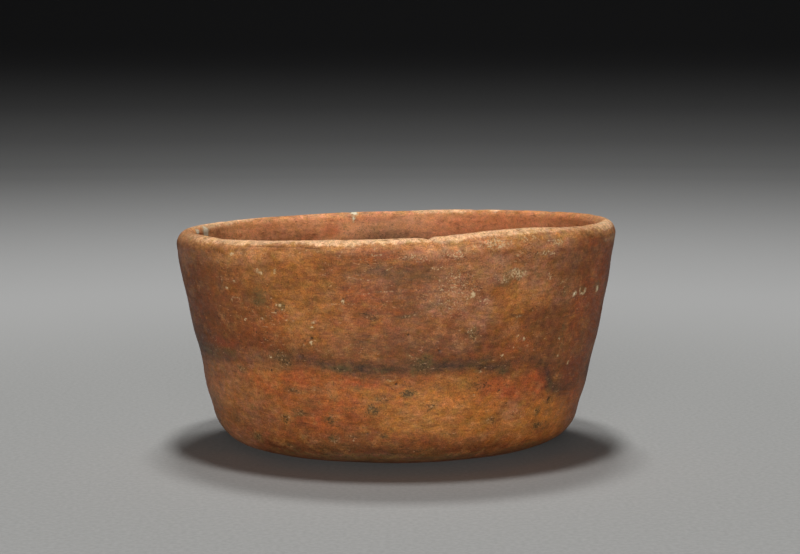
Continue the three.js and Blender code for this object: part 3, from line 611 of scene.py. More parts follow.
class Surface:
    """One side of the clay over a grid of turns and places along the section, with its marks."""

    def __init__(self, section, turn, along):
        self.is_outside = section.side == OUTSIDE
        self.turn = turn + 0 * along
        self.radius, self.height = section.read(section.points, along)
        self.outward, self.upward = section.read(section.normals, along)
        self.round_points = round_axis(self.turn, self.radius, self.height)
        self.masks = self.paint()
        self.points = self.shape()

    def paint(self):
        """Masks of the firing, wear and deposits, and of painted light and shade, from 0 to 1."""
        points, height = self.round_points, self.height
        across = self.turn + 2 * rough_noise(points, 7, 11) + 0.6 * noise(points, 1.3, 13)
        up = height + 1.1 * rough_noise(points, (7, 7, 4), 12) + 0.35 * noise(points, 1.3, 14)
        streaky = 1 + 0.4 * rough_noise(points, (7, 7, 1), 15)
        masks = self.firing(across, up, streaky)
        masks.update(self.deposits(across, up))
        masks.update(self.wear(across, streaky))
        # Painted shade in the pitted dents and the rim's fold, which the relief fills in
        masks["pit_and_fold_shade"] = 0 * height
        calm = smoothstep(28, 42, height) * smoothstep(54.6, 53.6, height)
        masks["calm"] = 0 * height if self.is_outside else calm
        return masks

    def firing(self, across, up, streaky):
        """Clouds of each colour, the smoked upper part and the smoke band."""
        clouds = CLOUDS if self.is_outside else INSIDE_CLOUDS
        masks = {
            name: cover(across, up, spots, CLOUD_SOFTNESS) * streaky
            for name, spots in clouds.items()
        }
        if self.is_outside:
            line = read_round(FIRE_LINE, across)
            masks["above_line"] = smoothstep(line - 1, line + 0.8, up)
            middle, half, strength = (read_round(SMOKE_BAND, across, part) for part in (1, 2, 3))
            in_band = strength * np.exp(-(((up - middle) / half) ** 2)) * (0.6 + 0.4 * streaky)
            masks["smoke"] = np.maximum(masks["smoke"], in_band)
        else:
            masks["above_line"] = INSIDE_SMOKE * smoothstep(INSIDE_SMOKE_FROM, INSIDE_SMOKE_TO, up)
        return masks

    def deposits(self, across, up):
        """Stains and crusts with close, ragged edges, and specks and flecks with loose ones."""
        points, outside = self.round_points, self.is_outside
        turn = self.turn + 0.3 * noise(points, 1.1, 16) + 0.25 * noise(points, 0.6, 18)
        height = self.height + 0.3 * noise(points, 1.1, 17) + 0.25 * noise(points, 0.6, 19)
        olive, lime = (OLIVE_SPOTS, LIME_CRUSTS) if outside else (INSIDE_OLIVE, INSIDE_LIME)
        specks, flecks = (SPECK_SPOTS, FLECK_SPOTS) if outside else ([], [])
        lime_share = OUTSIDE_LIME_SHARE if outside else 1
        return {
            "olive": cover(turn, height, olive, STAIN_SOFTNESS),
            "lime": cover(turn, height, lime, STAIN_SOFTNESS) * lime_share,
            "specks": cover(across, up, specks, SPECK_SOFTNESS),
            "flecks": cover(across, up, flecks, FLECK_SOFTNESS),
        }

    def wear(self, across, streaky):
        """The worn rim, its pale crest and the worn foot."""
        points = self.round_points
        edge = read_round(WEAR_EDGE if self.is_outside else INSIDE_WEAR_EDGE, across)
        ragged = self.height + 0.5 * rough_noise(points, 2.6, 21) + 0.3 * noise(points, 0.8, 22)
        paleness = read_round(CREST_PALENESS, across)
        bare = smoothstep(FOOT_RADIUS + 8, FOOT_RADIUS - 2, self.radius + 6 * (streaky - 1))
        return {
            "wear": smoothstep(edge - 2, edge + 1.8, ragged),
            "crest": paleness * smoothstep(edge, edge + 1.4, ragged),
            "foot_wear": bare * (1 if self.is_outside else 0.3),
        }

    def dent(self, relief, turn, height, half_width, half_height, depth, dark=0):
        """Presses a round-bottomed dent into the relief. Sizes are in mm. dark is how much
        painted shade darkens the dent's colour.
        """
        reach = DENT_REACH * np.degrees(half_width / WALL_RADIUS)
        near = np.abs(turn_apart(self.turn[:, 0], turn)) < reach
        across = np.radians(turn_apart(self.turn[near], turn)) * self.radius[near]
        up = self.height[near] - height
        within = np.exp(-((across / half_width) ** 2 + (up / half_height) ** 2))
        relief[near] -= depth * within
        self.masks["pit_and_fold_shade"][near] = np.maximum(self.masks["pit_and_fold_shade"][near], dark * within)

    def scratch(self, relief, turn_a, height_a, turn_b, height_b):
        """Scores a fine line into the relief, and leaves it pale."""
        over = np.radians(1) * self.radius
        across = turn_apart(self.turn, turn_a) * over
        up = self.height - height_a
        run, rise = (turn_b - turn_a) * over, height_b - height_a
        length_squared = np.maximum(run * run + rise * rise, 1e-9)
        share = np.clip((across * run + up * rise) / length_squared, 0, 1)
        apart = np.hypot(across - share * run, up - share * rise)
        within = np.exp(-((apart / SCRATCH_HALF_WIDTH) ** 2))
        relief -= SCRATCH_DEPTH * within
        self.masks["lime"] = np.maximum(self.masks["lime"], SCRATCH_PALENESS * within)

    def scatter_pits(self, relief, seed, lowest):
        """Strews small pitted dents, of which few are larger, darkened with painted shade at half
        strength.
        """
        random = np.random.default_rng(seed)
        highest = SCATTERED_PITS_TOP
        places = random.uniform((-180, lowest, 0), (180, highest, 1), (SCATTERED_PITS, 3))
        for turn, height, size in places:
            half_width = SMALLEST_PIT + PIT_SIZE_SPREAD * size ** 4
            depth = PIT_DEPTH_SHARE * half_width
            self.dent(relief, turn, height, half_width, half_width, depth, 0.5)

    def relief(self):
        """How far the surface stands out from its plain section, in millimetres."""
        points = self.round_points
        relief = 0.16 * rough_noise(points, (17, 17, 11), 31)
        relief += 0.07 * rough_noise(points, (13, 13, 3.4), 32)
        relief += 0.025 * noise(points, (8, 8, 0.9), 33)
        relief += 0.02 * rough_noise(points, 1.6, 34)
        for chip in RIM_CHIPS:
            self.dent(relief, *chip)
        relief -= self.masks["wear"] * (0.06 + 0.05 * rough_noise(points, 1.5, 36))
        relief += 0.06 * self.masks["lime"]
        if not self.is_outside:
            relief += 0.14 * rough_noise(points, (12, 12, 5), 35)
            relief -= swell(self.height - SEAM_LAP, self.turn)
            self.scatter_pits(relief, 8, 14)
            return relief
        relief += swell(self.height, self.turn)
        for dent in DENTS:
            self.dent(relief, *dent)
        for turn, height, half_width, depth in PITS:
            self.dent(relief, turn, height, half_width, half_width, depth, 1)
        self.scatter_pits(relief, 7, 1)
        for line in SCRATCHES:
            self.scratch(relief, *line)
        relief -= self.rim_fold()
        return relief * smoothstep(0, 1.5, self.height)

    def rim_fold(self):
        """How deep the fold under the rolled rim is, and its line of painted shade."""
        fold_turns, fold_heights = np.transpose(RIM_FOLD)
        fold = np.interp(self.turn, fold_turns, fold_heights)
        middle = (fold_turns[0] + fold_turns[-1]) / 2
        from_middle = np.abs(self.turn - middle)
        ends = smoothstep(RIM_FOLD_HALF_SPAN, RIM_FOLD_FADES_FROM, from_middle)
        apart = self.height - fold + 0.25 * noise(self.round_points, 2.5, 37)
        within = ends * np.exp(-((apart / RIM_FOLD_HALF_WIDTH) ** 2))
        self.masks["pit_and_fold_shade"] = np.maximum(self.masks["pit_and_fold_shade"], 0.6 * within)
        return RIM_FOLD_DEPTH * within

    def shape(self):
        """Points of the surface with its relief, in millimetres."""
        relief = self.relief()
        radius = self.radius + relief * self.outward
        height = self.height + relief * self.upward
        return uneven(self.turn, radius, height)


# The pieces

def rows_between(start, end, rows):
    """The rows between two columns of values, both left out, going from start to end."""
    return [start + (end - start) * (row / rows) for row in range(1, rows)]


def clay_sheet(name, foot_seam, head_seam, outside_shares, inside_shares):
    """A closed piece of clay between two seams. Without a foot seam it closes on the axis, and
    without a head seam it goes over the crest of the rim. The shares place its rows."""
    turn = turn_apart(np.arange(STEPS_ROUND)[:, None] * 360 / STEPS_ROUND, 0)

    def surface(section, lap, shares):
        low, high = 0, section.along[-1]
        if foot_seam is not None:
            low = section.place_at_height(seam_height(foot_seam, turn) + lap)
        if head_seam is not None:
            high = section.place_at_height(seam_height(head_seam, turn) + lap)
        return Surface(section, turn, low + (high - low) * shares[None, :])

    outer = surface(outside_section, 0, outside_shares)
    inner = surface(inside_section, SEAM_LAP, inside_shares[::-1])
    columns = {"co": (outer.points, inner.points)}
    for mask in outer.masks:
        columns[mask] = [np.clip(side.masks[mask], 0, 1)[..., None] for side in (outer, inner)]

    sheets = {}
    for key, (up_outside, down_inside) in columns.items():
        rows = [up_outside]
        if head_seam is None:
            down_inside = down_inside[:, 1:]
        else:
            rows += rows_between(up_outside[:, -1:], down_inside[:, :1], CAP_ROWS)
        rows.append(down_inside)
        if foot_seam is not None:
            rows += rows_between(down_inside[:, -1:], up_outside[:, :1], CAP_ROWS)
            rows.append(up_outside[:, :1])
        sheets[key] = np.concatenate(rows, axis=1)
    return wrapped_sheet(name, sheets.pop("co"), sheets)


def wrapped_sheet(name, points, masks):
    """A sheet of clay, wrapped round the axis and closed along its edges."""
    last_row = points.shape[1] - 1
    mesh = bpy.data.meshes.new(name)
    sheet = bmesh.new()
    bmesh.ops.create_grid(sheet, x_segments=STEPS_ROUND, y_segments=last_row, size=1)
    sheet.to_mesh(mesh)
    sheet.free()

    flat = np.empty(len(mesh.vertices) * 3, np.float32)
    mesh.vertices.foreach_get("co", flat)
    flat = (flat.reshape(-1, 3) + 1) / 2
    steps = np.rint(flat[:, 0] * STEPS_ROUND).astype(int) % STEPS_ROUND
    rows = np.rint(flat[:, 1] * last_row).astype(int)
    mesh.vertices.foreach_set("co", (points[steps, rows] * MM).astype(np.float32).ravel())
    for mask, values in masks.items():
        attribute = mesh.attributes.new(mask, "FLOAT", "POINT")
        attribute.data.foreach_set("value", values[steps, rows, 0].astype(np.float32))

    wrapped = bmesh.new()
    wrapped.from_mesh(mesh)
    bmesh.ops.remove_doubles(wrapped, verts=wrapped.verts, dist=1e-7)
    bmesh.ops.recalc_face_normals(wrapped, faces=wrapped.faces)
    for face in wrapped.faces:
        face.smooth = True
    for edge in wrapped.edges:
        edge.smooth = edge.calc_face_angle(0) < SHARP_ANGLE
    wrapped.to_mesh(mesh)
    wrapped.free()
    piece = bpy.data.objects.new(name, mesh)
    bpy.context.scene.collection.objects.link(piece)
    return piece


def shares(rows, crowding=1):
    """Where rows lie. With a crowding under 1 they lie closer together away from the axis."""
    return np.linspace(0, 1, rows + 1) ** crowding


pieces = {
    "base_pad": clay_sheet("base_pad_clay", None, 0, shares(80, 0.6), shares(36, 0.8)),
    "rim_coil": clay_sheet("rim_coil_clay", WALL_COILS, None, shares(38), shares(24)),
}
for coil in range(1, WALL_COILS + 1):
    pieces[f"wall_coil_{coil}"] = clay_sheet(
        f"wall_coil_{coil}_clay", coil - 1, coil, shares(36), shares(22),
    )


# Finishes

def srgb(red, green, blue):
    """A colour given as it shows on a screen, from 0 to 255, as the shader takes it."""
    channels = [channel / 255 for channel in (red, green, blue)]
    linear = [c / 12.92 if c <= 0.04045 else ((c + 0.055) / 1.055) ** 2.4 for c in channels]
    return (*linear, 1)


ORANGE = srgb(146, 86, 42)
BROWN = srgb(130, 77, 39)
OCHRE = srgb(155, 100, 46)
# Peach is a colour of the clay, and on the inner wall also painted light
PEACH_AND_PAINTED_LIGHT = srgb(208, 144, 92)
AMBER = srgb(194, 118, 50)
RED = srgb(150, 70, 36)
EMBER = srgb(196, 92, 50)
# Umber is the colour of dark clay, and of the painted shade round the foot
UMBER_AND_PAINTED_SHADE = srgb(94, 50, 26)
# Haze is the colour of the grey bloom, and of the painted light and sheen at the cup's sides
HAZE_AND_PAINTED_LIGHT = srgb(158, 110, 80)
SMOKE = srgb(72, 52, 38)
OLIVE = srgb(102, 86, 50)
RUST = srgb(118, 60, 32)
TAN = srgb(176, 120, 72)
PALE_CLAY = srgb(232, 184, 138)
BARE_CLAY = srgb(196, 138, 88)
FOOT_CLAY = srgb(150, 108, 68)
# Lime and chalk colour the crusts, and also the painted highlights on the rim's crest
LIME = srgb(212, 184, 140)
# Speck is the colour of the burnt specks, and of the painted shade in the pitted dents and the fold
SPECK_AND_PAINTED_SHADE = srgb(58, 40, 22)
CHALK = srgb(236, 226, 196)
# Blush is a pink of the clay, and on the inner wall also painted light
BLUSH_AND_PAINTED_LIGHT = srgb(248, 174, 120)

# Patterns of noise: how many lumps there are to a metre across and up the wall, how many finer
# layers lie on them, and how strong those are
PATTERNS = {
    "grain": (3300.0, 3300.0, 2.0, 0.75),
    "coarse": (520.0, 520.0, 4.0, 0.6),
    "bending": (60.0, 60.0, 1.0, 0.5),
    "strokes": (260.0, 1050.0, 3.0, 0.65),
    "scores": (110.0, 1900.0, 2.0, 0.6),
    "mottle": (240.0, 320.0, 6.0, 0.72),
    "blotch": (560.0, 980.0, 4.0, 0.7),
    "stain": (400.0, 480.0, 5.0, 0.74),
    "crowd": (150.0, 150.0, 3.0, 0.6),
}

# How far the strokes and scores bend, in metres along X, Y and Z
STROKE_BEND = (0.004, 0.004, 0.006)

# Sorts of specks: how many there are to a metre across and up the wall
SPECKLES = {
    "chips": (1300.0, 1500.0),
    "burnt": (1000.0, 2100.0),
    "dark": (1900.0, 2200.0),
    "hairs": (380.0, 2400.0),
    "streaks": (800.0, 2600.0),
    "lime": (1900.0, 2300.0),
}

# How painted masks break up into flakes: flakes to a metre, raggedness, softness of the edge
FLAKES = {
    "wear": (1400.0, 2.5, 0.45),
    "crest": (1300.0, 3.4, 0.34),
    "foot_wear": (420.0, 2.6, 0.5),
    "olive": (1000.0, 6.0, 0.3),
    "lime": (1800.0, 5.0, 0.3),
}

# The colours that the clouds of the firing have; some also carry painted light and shade
FIRED_COLOURS = {
    "ochre": OCHRE, "peach_and_painted_light": PEACH_AND_PAINTED_LIGHT, "amber": AMBER, "blush_and_painted_light": BLUSH_AND_PAINTED_LIGHT, "red": RED, "ember": EMBER,
    "umber_and_painted_shade": UMBER_AND_PAINTED_SHADE, "haze_and_painted_light": HAZE_AND_PAINTED_LIGHT,
}


class Nodes:
    """Adds nodes to a tree and links them."""

    def __init__(self, tree):
        self.tree = tree

    def add(self, kind, settings=None, **values):
        """A node with its settings, and its inputs as values or as sockets to link."""
        node = self.tree.nodes.new("ShaderNode" + kind)
        for setting, value in (settings or {}).items():
            setattr(node, setting, value)
        for name, value in values.items():
            self.put(node.inputs[name.replace("_", " ")], value)
        return node

    def group(self, name, **values):
        """The outputs of a shared group, with its inputs as values or as sockets to link."""
        node = self.add("Group", {"node_tree": bpy.data.node_groups[name]})
        for socket, value in values.items():
            self.put(node.inputs[socket], value)
        return node.outputs

    def put(self, socket, value):
        if isinstance(value, bpy.types.NodeSocket):
            self.tree.links.new(value, socket)
        else:
            socket.default_value = value

    def mask(self, name):
        return self.add("Attribute", {"attribute_name": name}).outputs["Fac"]

    def place(self):
        return self.add("TexCoord").outputs["Object"]

    def pattern(self, name, place, output="Fac"):
        """One of the patterns, as a value or a colour round 0.5."""
        across, up, detail, roughness = PATTERNS[name]
        drawn = self.add("Mapping", Vector=place, Scale=(across, across, up)).outputs["Vector"]
        return self.add("TexNoise", Vector=drawn, Scale=1.0, Detail=detail,
                        Roughness=roughness).outputs[output]

    def speckled(self, sort, amount):
        """Ragged specks of one sort. amount is how much of the surface they cover."""
        across, up = SPECKLES[sort]
        return self.group("speckle", Across=across, Up=up, Amount=amount)["Mask"]

    def flaked(self, mask):
        """A painted mask with its edge broken up."""
        scale, raggedness, softness = FLAKES[mask]
        return self.group("ragged", Mask=self.mask(mask), Scale=scale, Raggedness=raggedness,
                          Softness=softness)["Mask"]

    def part(self, mask, share):
        """A share of a mask, or of any other value."""
        return self.math("MULTIPLY", mask, share)

    def math(self, operation, first, second):
        node = self.add("Math", {"operation": operation})
        self.put(node.inputs[0], first)
        self.put(node.inputs[1], second)
        return node.outputs[0]

    def between(self, value, low, high, to_low=0.0, to_high=1.0):
        """The value's smooth way from low to high, mapped onto another range."""
        node = self.add("MapRange", {"interpolation_type": "SMOOTHSTEP"}, Value=value,
                        From_Min=low, From_Max=high, To_Min=to_low, To_Max=to_high)
        return node.outputs["Result"]

    def mix(self, share, under, over, blend="MIX"):
        node = self.add("Mix", {"data_type": "RGBA", "blend_type": blend})
        factor, under_socket, over_socket = (
            next(socket for socket in node.inputs if socket.identifier == identifier)
            for identifier in ("Factor_Float", "A_Color", "B_Color")
        )
        self.put(factor, share)
        self.put(under_socket, under)
        self.put(over_socket, over)
        return next(out for out in node.outputs if out.identifier == "Result_Color")

    def laid(self, colour, over, mask, share):
        """The colour with another one laid over it, at most by a share, where the mask is."""
        return self.mix(self.part(mask, share), colour, over)

    def noise(self, vector, scale, detail=3.0, roughness=0.6):
        return self.add("TexNoise", Vector=vector, Scale=scale, Detail=detail,
                        Roughness=roughness).outputs["Fac"]

    def tinted(self, value, low, high):
        """Three values round 0.5 as a colour that goes from low to high."""
        node = self.add("MapRange", {"data_type": "FLOAT_VECTOR"})
        ends = {"Vector": value, "From_Min_FLOAT3": (0.3,) * 3, "From_Max_FLOAT3": (0.7,) * 3,
                "To_Min_FLOAT3": low, "To_Max_FLOAT3": high}
        for socket in node.inputs:
            if socket.identifier in ends:
                self.put(socket, ends[socket.identifier])
        return node.outputs["Vector"]


def new_group(name, inputs, outputs):
    """An empty shader node group: its nodes, its input sockets' values and its output node."""
    tree = bpy.data.node_groups.new(name, "ShaderNodeTree")
    for socket, value in inputs.items():
        made = tree.interface.new_socket(socket, in_out="INPUT", socket_type="NodeSocketFloat")
        made.default_value = value
    for socket, kind in outputs.items():
        tree.interface.new_socket(socket, in_out="OUTPUT", socket_type="NodeSocket" + kind)
    given = tree.nodes.new("NodeGroupInput").outputs
    return Nodes(tree), given, tree.nodes.new("NodeGroupOutput").inputs


def speckle_group():
    """Ragged specks. Across and Up are how many there are to a metre each way, and Amount is how
    much of the surface they cover."""
    nodes, given, result = new_group("speckle", {"Across": 1000.0, "Up": 1000.0, "Amount": 0.5},
                                     {"Mask": "Float"})
    scale = nodes.add("CombineXYZ", X=given["Across"], Y=given["Across"], Z=given["Up"])
    drawn = nodes.add("VectorMath", {"operation": "MULTIPLY"})
    nodes.put(drawn.inputs[0], nodes.place())
    nodes.put(drawn.inputs[1], scale.outputs[0])
    lumps = nodes.noise(drawn.outputs[0], 1.0, 3.0, 0.7)
    edge = nodes.math("SUBTRACT", 0.72, nodes.part(given["Amount"], 0.22))
    nodes.put(result["Mask"], nodes.between(nodes.math("SUBTRACT", lumps, edge), 0.0, 0.05))


def ragged_group():
    """A mask with its soft edge broken up into ragged flakes. Empty parts stay empty."""
    nodes, given, result = new_group(
        "ragged", {"Mask": 0.0, "Scale": 1000.0, "Raggedness": 5.0, "Softness": 0.2},
        {"Mask": "Float"},
    )
    lumps = nodes.noise(nodes.place(), given["Scale"], 4.0, 0.7)
    shift = nodes.math("MULTIPLY", nodes.math("SUBTRACT", lumps, 0.5), given["Raggedness"])
    broken = nodes.math("MULTIPLY", given["Mask"], nodes.math("ADD", shift, 1.0))
    low = nodes.math("SUBTRACT", 0.5, given["Softness"])
    high = nodes.math("ADD", 0.5, given["Softness"])
    nodes.put(result["Mask"], nodes.between(broken, low, high))


def clay_surface_group():
    """Grain, burnishing strokes and fine scores, as values round 0.5, and their height."""
    nodes, given, result = new_group(
        "clay_surface", {"Polish": 1.0},
        {"Grain": "Float", "Strokes": "Float", "Scores": "Float", "Height": "Float"},
    )
    place = nodes.place()
    grain = nodes.pattern("grain", place)
    coarse = nodes.pattern("coarse", place)
    bent = nodes.add("VectorMath", {"operation": "MULTIPLY_ADD"})
    bending = (nodes.pattern("bending", place, "Color"), STROKE_BEND, place)
    for socket, value in zip(bent.inputs, bending):
        nodes.put(socket, value)
    strokes = nodes.pattern("strokes", bent.outputs[0])
    scores = nodes.pattern("scores", bent.outputs[0])
    polished = nodes.part(nodes.math("ADD", strokes, nodes.part(scores, 0.4)), given["Polish"])
    rough = nodes.math("ADD", nodes.part(grain, 0.35), nodes.part(coarse, 0.6))
    nodes.put(result["Grain"], grain)
    nodes.put(result["Strokes"], strokes)
    nodes.put(result["Scores"], scores)
    nodes.put(result["Height"], nodes.math("ADD", rough, polished))


def fired(nodes, place, above, blotch):
    """The clay's colour as it left the fire, with the painted light and shade that some clouds
    carry.
    """
    colour = nodes.mix(above, ORANGE, BROWN)
    for mask, over in FIRED_COLOURS.items():
        colour = nodes.mix(nodes.mask(mask), colour, over)
    mottle = nodes.pattern("mottle", place)
    colour = nodes.mix(nodes.between(mottle, 0.52, 0.33, 0.0, 0.48), colour, RUST)
    colour = nodes.mix(nodes.between(mottle, 0.5, 0.68, 0.0, 0.42), colour, TAN)
    sooted = nodes.part(nodes.mask("smoke"), nodes.between(blotch, 0.35, 0.65, 1.0, 0.8))
    return nodes.mix(sooted, colour, SMOKE)


def toned(nodes, colour, place, given, blotch, crest):
    """The colour made uneven by grain, strokes, blotches and stains, and less so where calm."""
    tones = (
        (given["Grain"], 0.25, 0.36), (given["Strokes"], 0.3, 0.09), (blotch, 0.28, 0.24),
        (given["Scores"], 0.3, 0.09),
    )
    shade = 1.0
    for pattern, low, strength in tones:
        tone = nodes.between(pattern, low, 1 - low, 1 - strength, 1 + strength)
        shade = nodes.part(tone, shade)
    grey = nodes.add("CombineColor", Red=shade, Green=shade, Blue=shade).outputs["Color"]
    lively = nodes.between(nodes.mask("calm"), 0.0, 1.0, 1.0, 0.5)
    colour = nodes.mix(lively, colour, grey, "MULTIPLY")
    stain = nodes.pattern("stain", place, "Color")
    tint = nodes.tinted(stain, (0.82, 1, 0.64), (1.18, 1, 1.36))
    stained = nodes.part(lively, nodes.between(crest, 0.0, 1.0, 1.0, 0.4))
    return nodes.mix(stained, colour, tint, "MULTIPLY")


def specked(nodes, colour, place, above, thick):
    """The colour with its burnt specks, olive stains, dark specks and pale streaks, and with
    painted shade in the pitted dents and the rim's fold.
    """
    crowd = nodes.pattern("crowd", place)
    crowded = nodes.mask("specks")
    colour = nodes.laid(colour, OLIVE, crowded, 0.4)
    chips = nodes.speckled("chips", nodes.part(crowded, 0.85))
    colour = nodes.laid(colour, PALE_CLAY, chips, 0.3)
    colour = nodes.laid(colour, SPECK_AND_PAINTED_SHADE, nodes.speckled("burnt", crowded), 0.55)
    olive = nodes.flaked("olive")
    colour = nodes.laid(colour, OLIVE, olive, 0.42)
    thin = nodes.between(crowd, 0.38, 0.64, 0.0, 0.55)
    crowding = nodes.math("MAXIMUM", nodes.part(crowded, 0.6), nodes.part(thick, 0.35))
    dark = nodes.math("ADD", nodes.math("ADD", thin, crowding), nodes.part(olive, 0.3))
    colour = nodes.laid(colour, SPECK_AND_PAINTED_SHADE, nodes.speckled("dark", dark), 0.7)
    hairs = nodes.speckled("hairs", nodes.between(crowd, 0.62, 0.4, 0.1, 0.6))
    colour = nodes.laid(colour, UMBER_AND_PAINTED_SHADE, hairs, 0.5)
    pale = nodes.part(nodes.between(crowd, 0.42, 0.6, 0.0, 0.5), above)
    streaks = nodes.speckled("streaks", pale)
    colour = nodes.laid(colour, PALE_CLAY, streaks, nodes.part(above, 0.3))
    # Painted shade darkens the pitted dents and the fold under the rim
    return nodes.mix(nodes.between(nodes.mask("pit_and_fold_shade"), 0.3, 0.75, 0.0, 0.85), colour, SPECK_AND_PAINTED_SHADE)


def limed(nodes, colour, thick):
    """The colour under crusts and flecks of lime, and how much lime covers it."""
    flecks = nodes.speckled("lime", nodes.math("ADD", 0.05, thick))
    flecks = nodes.part(flecks, nodes.math("ADD", 0.25, nodes.part(thick, 0.45)))
    chalky = nodes.between(nodes.mask("lime"), 0.7, 0.95)
    crusts = nodes.part(nodes.flaked("lime"), nodes.between(chalky, 0.0, 1.0, 0.7, 1.0))
    lime = nodes.math("MAXIMUM", crusts, flecks)
    return nodes.mix(lime, colour, nodes.mix(chalky, LIME, CHALK)), lime


def firing_group():
    """The clay's colour with its fire clouds, specks, flecks, wear and lime, and with the painted
    light and shade that some of them carry.
    """
    nodes, given, result = new_group(
        "firing", {"Grain": 0.5, "Strokes": 0.5, "Scores": 0.5},
        {"Colour": "Color", "Dull": "Float"},
    )
    place = nodes.place()
    above = nodes.mask("above_line")
    blotch = nodes.pattern("blotch", place)
    wear, crest, foot = (nodes.flaked(mask) for mask in ("wear", "crest", "foot_wear"))
    colour = fired(nodes, place, above, blotch)
    colour = nodes.laid(colour, BARE_CLAY, wear, 0.7)
    colour = nodes.laid(colour, PALE_CLAY, crest, 0.9)
    colour = nodes.laid(colour, FOOT_CLAY, foot, 0.6)
    colour = toned(nodes, colour, place, given, blotch, crest)
    thick = nodes.mask("flecks")
    colour = specked(nodes, colour, place, above, thick)
    colour, lime = limed(nodes, colour, thick)
    nodes.put(result["Colour"], colour)
    nodes.put(result["Dull"], nodes.math("MAXIMUM", nodes.math("MAXIMUM", wear, lime), foot))


def fired_clay(name, polish, bump_depth):
    """A material for one of the finishes. All share the same grain and firing."""
    material = bpy.data.materials.new(name)
    material.use_nodes = True
    nodes = Nodes(material.node_tree)
    shader = material.node_tree.nodes["Principled BSDF"]
    relief = nodes.group("clay_surface", Polish=polish)
    coloured = nodes.group("firing", Grain=relief["Grain"], Strokes=relief["Strokes"],
                           Scores=relief["Scores"])
    roughness = nodes.between(relief["Strokes"], 0.3, 0.7, 0.5, 0.68)
    duller = nodes.part(coloured["Dull"], 0.3)
    nodes.put(shader.inputs["Base Color"], coloured["Colour"])
    nodes.put(shader.inputs["Roughness"], nodes.math("ADD", roughness, duller))
    shader.inputs["Specular IOR Level"].default_value = 0.2
    bump = nodes.add("Bump", Height=relief["Height"], Distance=bump_depth * MM)
    nodes.put(shader.inputs["Normal"], bump.outputs["Normal"])
    return material


POLISH = 0.6
BUMP_DEPTHS = {"orange_clay": 0.1, "red_brown_clay": 0.1, "worn_rim_clay": 0.12}

for build_group in (speckle_group, ragged_group, clay_surface_group, firing_group):
    build_group()
finishes = {name: fired_clay(name, POLISH, depth) for name, depth in BUMP_DEPTHS.items()}
slots = {
    "base_pad": "orange_clay",
    "wall_coil_1": "orange_clay",
    "wall_coil_2": "red_brown_clay",
    "wall_coil_3": "red_brown_clay",
    "rim_coil": "worn_rim_clay",
}
for node, piece in pieces.items():
    piece.data.materials.append(finishes[slots[node]])
    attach(piece, "root")
    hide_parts(node)


# Studio

scene = bpy.context.scene
scene.view_settings.view_transform = "Standard"

# The studio's lengths are in metres
FLOOR_REACH = 1.5
SWEEP_RADIUS = 0.9
SWEEP_STEPS = 12
SWEEP_TOP = 2.6
FLOOR_STEPS_ROUND = 96
PAPER_DARKER = srgb(163, 163, 161)
PAPER_LIGHTER = srgb(173, 173, 171)
# Paler paper away from the cup is painted light
PAPER_PAINTED_LIGHT = srgb(188, 188, 187)
# The dark far edge of the backdrop is painted shade, where the lamps' light falls off
BACKDROP_PAINTED_SHADE = srgb(38, 38, 39)


def floor_sweep():
    """A pale floor that turns up into a backdrop all round, without a corner."""
    sheet = bmesh.new()
    profile = [(0, 0), (0.3, 0), (0.8, 0)]
    for step in range(SWEEP_STEPS + 1):
        angle = math.radians(90 / SWEEP_STEPS * step)
        profile.append((FLOOR_REACH + SWEEP_RADIUS * math.sin(angle),
                        SWEEP_RADIUS * (1 - math.cos(angle))))
    profile.append((FLOOR_REACH + SWEEP_RADIUS, SWEEP_TOP))
    corners = [sheet.verts.new((0, -away, height)) for away, height in profile]
    for corner, following in zip(corners, corners[1:]):
        sheet.edges.new((corner, following))
    bmesh.ops.spin(sheet, geom=sheet.verts[:] + sheet.edges[:], cent=(0, 0, 0), axis=(0, 0, 1),
                   angle=math.tau, steps=FLOOR_STEPS_ROUND, use_merge=True)
    bmesh.ops.remove_doubles(sheet, verts=sheet.verts, dist=1e-5)
    bmesh.ops.recalc_face_normals(sheet, faces=sheet.faces)
    bmesh.ops.reverse_faces(sheet, faces=sheet.faces)
    for face in sheet.faces:
        face.smooth = True
    mesh = bpy.data.meshes.new("floor")
    sheet.to_mesh(mesh)
    sheet.free()
    return mesh


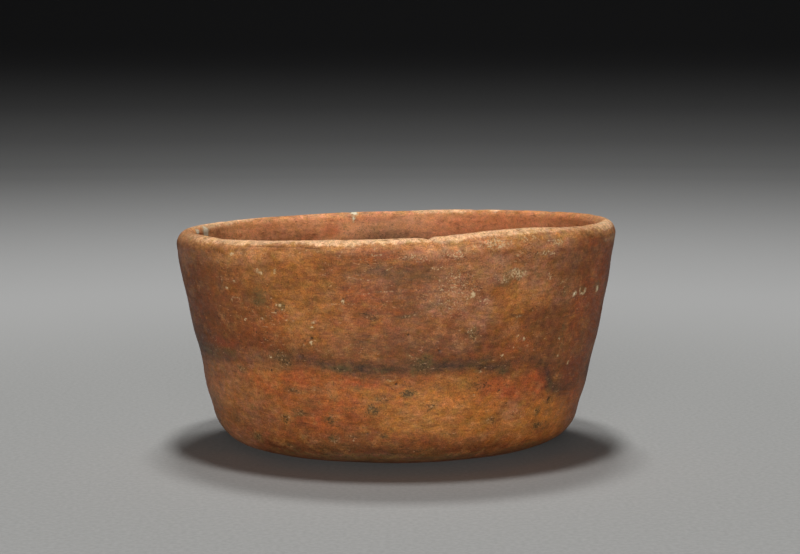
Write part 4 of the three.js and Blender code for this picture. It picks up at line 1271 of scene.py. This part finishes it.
def floor_paper():
    """Flecked pale paper, painted paler away from the cup as painted light, and darkened towards
    its far edge as painted shade where the lamps' light falls off.
    """
    material = bpy.data.materials.new("floor_paper")
    material.use_nodes = True
    nodes = Nodes(material.node_tree)
    shader = material.node_tree.nodes["Principled BSDF"]
    shader.inputs["Roughness"].default_value = 0.9
    shader.inputs["Specular IOR Level"].default_value = 0.2
    place = nodes.place()
    fleck = nodes.between(nodes.noise(place, 900.0), 0.3, 0.7)
    away = nodes.add("VectorMath", {"operation": "LENGTH"}, Vector=place).outputs["Value"]
    colour = nodes.mix(fleck, PAPER_DARKER, PAPER_LIGHTER)
    # Painted light: paler paper away from the cup
    colour = nodes.mix(nodes.between(away, 0.1, 0.4), colour, PAPER_PAINTED_LIGHT)
    # Painted shade: darker towards the far edge of the backdrop
    colour = nodes.mix(nodes.between(away, 1.45, 2.0), colour, BACKDROP_PAINTED_SHADE)
    nodes.put(shader.inputs["Base Color"], colour)
    return material


floor = bpy.data.objects.new("floor", floor_sweep())
scene.collection.objects.link(floor)
floor.data.materials.append(floor_paper())

CAMERA_DISTANCE = 0.495
CAMERA_RISE = math.radians(6.8)
CAMERA_AIMS_AT = Vector((0, 0, 0.030))
AIM_ABOVE = math.radians(1.34)
AIM_RIGHT = math.radians(0.11)
camera_data = bpy.data.cameras.new("camera")
camera_data.sensor_width = 36
camera_data.lens = 88.1
camera = bpy.data.objects.new("camera", camera_data)
scene.collection.objects.link(camera)
away = Vector((0, -math.cos(CAMERA_RISE), math.sin(CAMERA_RISE)))
camera.location = CAMERA_AIMS_AT + CAMERA_DISTANCE * away
camera.rotation_euler = Euler((math.pi / 2 - CAMERA_RISE + AIM_ABOVE, 0, -AIM_RIGHT))
scene.camera = camera

world = bpy.data.worlds.new("studio")
world.use_nodes = True
world.node_tree.nodes["Background"].inputs["Color"].default_value = (1, 1, 1, 1)
world.node_tree.nodes["Background"].inputs["Strength"].default_value = 0.02
scene.world = world


def softbox(name, location, size, level, faces=CAMERA_AIMS_AT):
    """A rectangular lamp. At a level of 1 a surface at the place that it faces, turned to it,
    shows the colour that its finish has."""
    data = bpy.data.lights.new(name, "AREA")
    data.shape = "RECTANGLE"
    data.size, data.size_y = size
    reach = faces - Vector(location)
    data.energy = level * math.pi ** 2 * reach.length_squared
    lamp = bpy.data.objects.new(name, data)
    lamp.location = location
    lamp.rotation_euler = reach.to_track_quat("-Z", "Y").to_euler()
    lamp.visible_camera = False
    scene.collection.objects.link(lamp)


softbox("overhead", (0.0, -0.04, 1.1), (0.12, 0.12), 0.42)
softbox("overhead_back", (0.0, 0.41, 1.15), (0.22, 0.18), 0.42)
softbox("front_fill", (-0.07, -1.2, 0.12), (0.85, 0.16), 0.84)
softbox("backdrop", (0.1, 1.45, 0.9), (0.9, 0.5), 0.14, Vector((0.1, 1.5, 0)))
